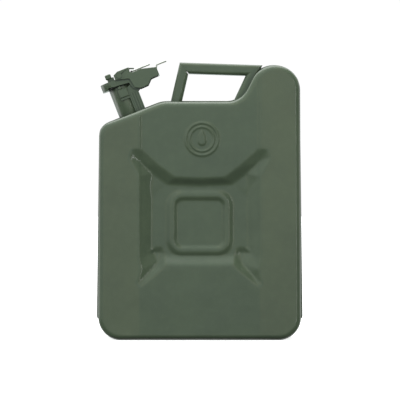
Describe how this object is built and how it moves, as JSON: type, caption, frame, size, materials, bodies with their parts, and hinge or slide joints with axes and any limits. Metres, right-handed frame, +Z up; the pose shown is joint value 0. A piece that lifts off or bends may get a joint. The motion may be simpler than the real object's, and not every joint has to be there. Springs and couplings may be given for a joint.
{
  "type": "safety gas can",
  "caption": "Pressed-steel fuel can with a recessed cross pressing, carrying handle, air pocket and a hinged cam-lever closure on a tilted neck.",
  "frame": {"origin": "Middle of the can's footprint on the ground: the flat base stands on Z = 0, and the mid-plane between the two pressed halves is Y = 0.", "axes": "+Z up, +X towards the air pocket at the end opposite the neck, -Y the front face; +Y is through the can from front to rear."},
  "size_m": [0.2792, 0.1366, 0.3788],
  "materials": {
    "olive_paint": "satin",
    "zinc_steel": "zinc plated",
    "seal_rubber": "matt"
  },
  "bodies": {
    "can": {"front_shell": "olive_paint", "rear_shell": "olive_paint", "handle_post": "olive_paint", "handle_grip": "olive_paint", "handle_rear_leg": "olive_paint", "neck_tube": "olive_paint", "neck_bracket_front": "olive_paint", "neck_bracket_rear": "olive_paint", "neck_spine": "olive_paint", "neck_lugs": "olive_paint", "locking_studs": "olive_paint", "hinge_pin": "olive_paint", "breather_tube": "zinc_steel", "breather_clip": "zinc_steel"},
    "lid": {"lid_cap": "olive_paint", "lid_gasket": "seal_rubber", "gasket_retainer": "zinc_steel", "lid_rivet": "olive_paint", "lid_frame": "olive_paint", "lid_knob": "olive_paint", "lever_yoke": "olive_paint", "lever_pin": "olive_paint"},
    "lever": {"lever_cheek_front": "olive_paint", "lever_cheek_rear": "olive_paint", "lever_front_web": "olive_paint", "lever_rear_web": "olive_paint", "lever_end_plate": "olive_paint"},
    "wire": {"safety_wire": "zinc_steel"}
  },
  "joints": [
    {"name": "lid_hinge", "type": "hinge", "parent": "can", "child": "lid", "pos_m": [-0.08559, 0, 0.34362], "axis": [0, 1, 0], "range_deg": [0, 85]},
    {"name": "lever_hinge", "type": "hinge", "parent": "lid", "child": "lever", "pos_m": [-0.10887, 0, 0.35534], "axis": [0, -1, 0], "range_deg": [0, 100]},
    {"name": "safety_wire_hinge", "type": "hinge", "parent": "lever", "child": "wire", "pos_m": [-0.09259, 0, 0.3615], "axis": [0, -1, 0], "range_deg": [0, 60]}
  ],
  "couplings": [
    {"joint": "lever_hinge", "follows": "lid_hinge", "ratio": 1.17}
  ]
}
